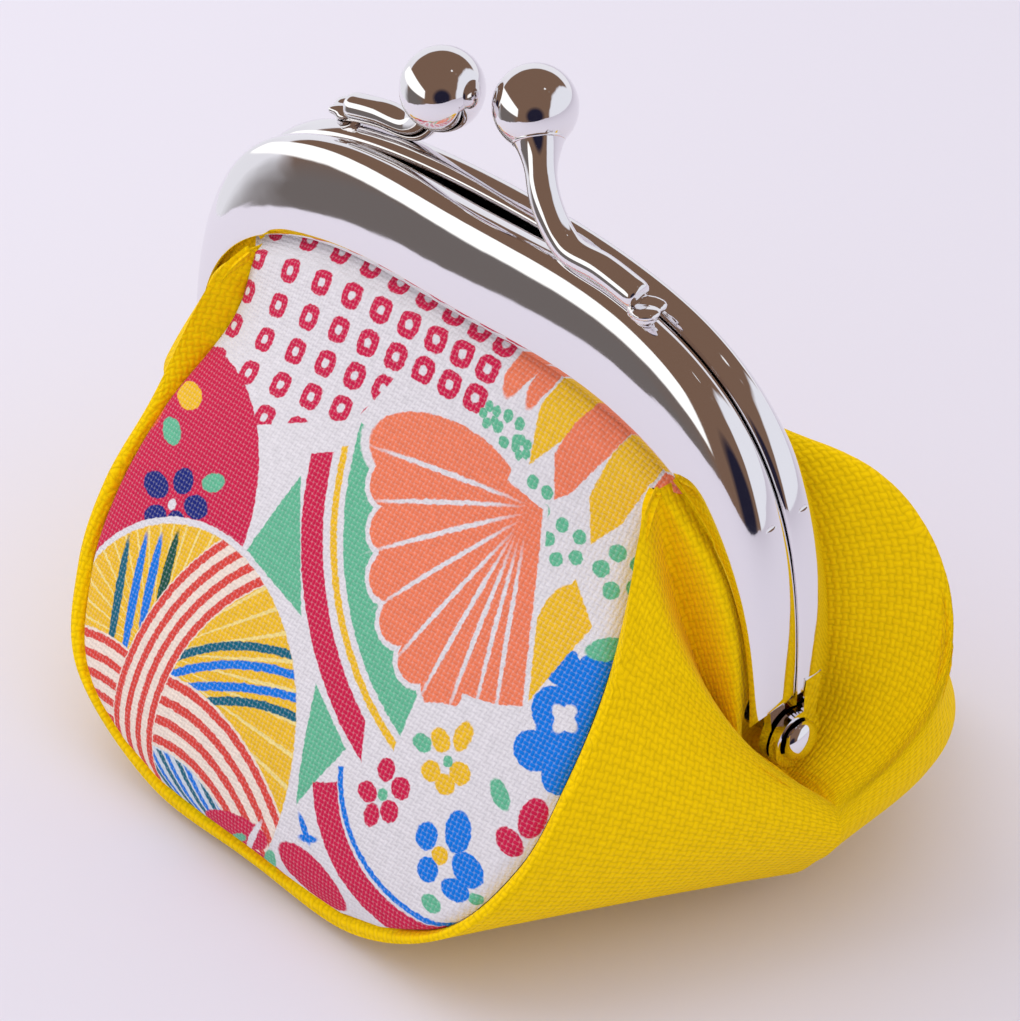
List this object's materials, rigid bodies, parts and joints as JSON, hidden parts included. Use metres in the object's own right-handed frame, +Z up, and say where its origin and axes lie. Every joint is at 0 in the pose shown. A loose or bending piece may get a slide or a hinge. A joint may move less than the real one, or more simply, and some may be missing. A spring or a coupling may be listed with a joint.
{
  "type": "kiss-lock coin purse",
  "caption": "Small cloth coin purse with a hinged metal clasp frame, crossing ball catches and a folded canvas gusset.",
  "frame": {"origin": "on the floor under the middle of the bag, at the bottom centre of the bounding box", "axes": "+X runs along the hinge axis to the right, -Y is the front panel, +Z is up towards the ball catches"},
  "size_m": [0.0992, 0.069, 0.0775],
  "materials": {
    "bright_metal": "bright nickel plate over pressed steel, finely scratched",
    "printed_cotton": "woven cotton with a bright print of flowers, dots and bands",
    "yellow_canvas": "coarse plain-weave canvas, matt",
    "lining_cotton": "plain thin cotton",
    "paper_cord": "twisted paper"
  },
  "bodies": {
    "pouch": {"gusset": "yellow_canvas", "gusset_lining": "lining_cotton", "front_panel": "printed_cotton", "front_lining": "lining_cotton", "back_panel": "printed_cotton", "back_lining": "lining_cotton", "right_hinge_rivet": "bright_metal", "left_hinge_rivet": "bright_metal"},
    "front_half": {"front_frame": "bright_metal", "front_clasp_stalk": "bright_metal", "front_clasp_ball": "bright_metal", "front_paper_cord": "paper_cord"},
    "back_half": {"back_frame": "bright_metal", "back_clasp_stalk": "bright_metal", "back_clasp_ball": "bright_metal", "back_paper_cord": "paper_cord"}
  },
  "joints": [
    {"name": "front_hinge", "type": "hinge", "parent": "pouch", "child": "front_half", "pos_m": [0, 0, 0.0215], "axis": [1, 0, 0], "range_deg": [0, 45], "deforming": ["front_panel", "front_lining", "gusset", "gusset_lining"]},
    {"name": "back_hinge", "type": "hinge", "parent": "pouch", "child": "back_half", "pos_m": [0, 0, 0.0215], "axis": [-1, 0, 0], "range_deg": [0, 45], "deforming": ["back_panel", "back_lining"]}
  ],
  "couplings": [
    {"joint": "back_hinge", "follows": "front_hinge", "ratio": 1}
  ]
}
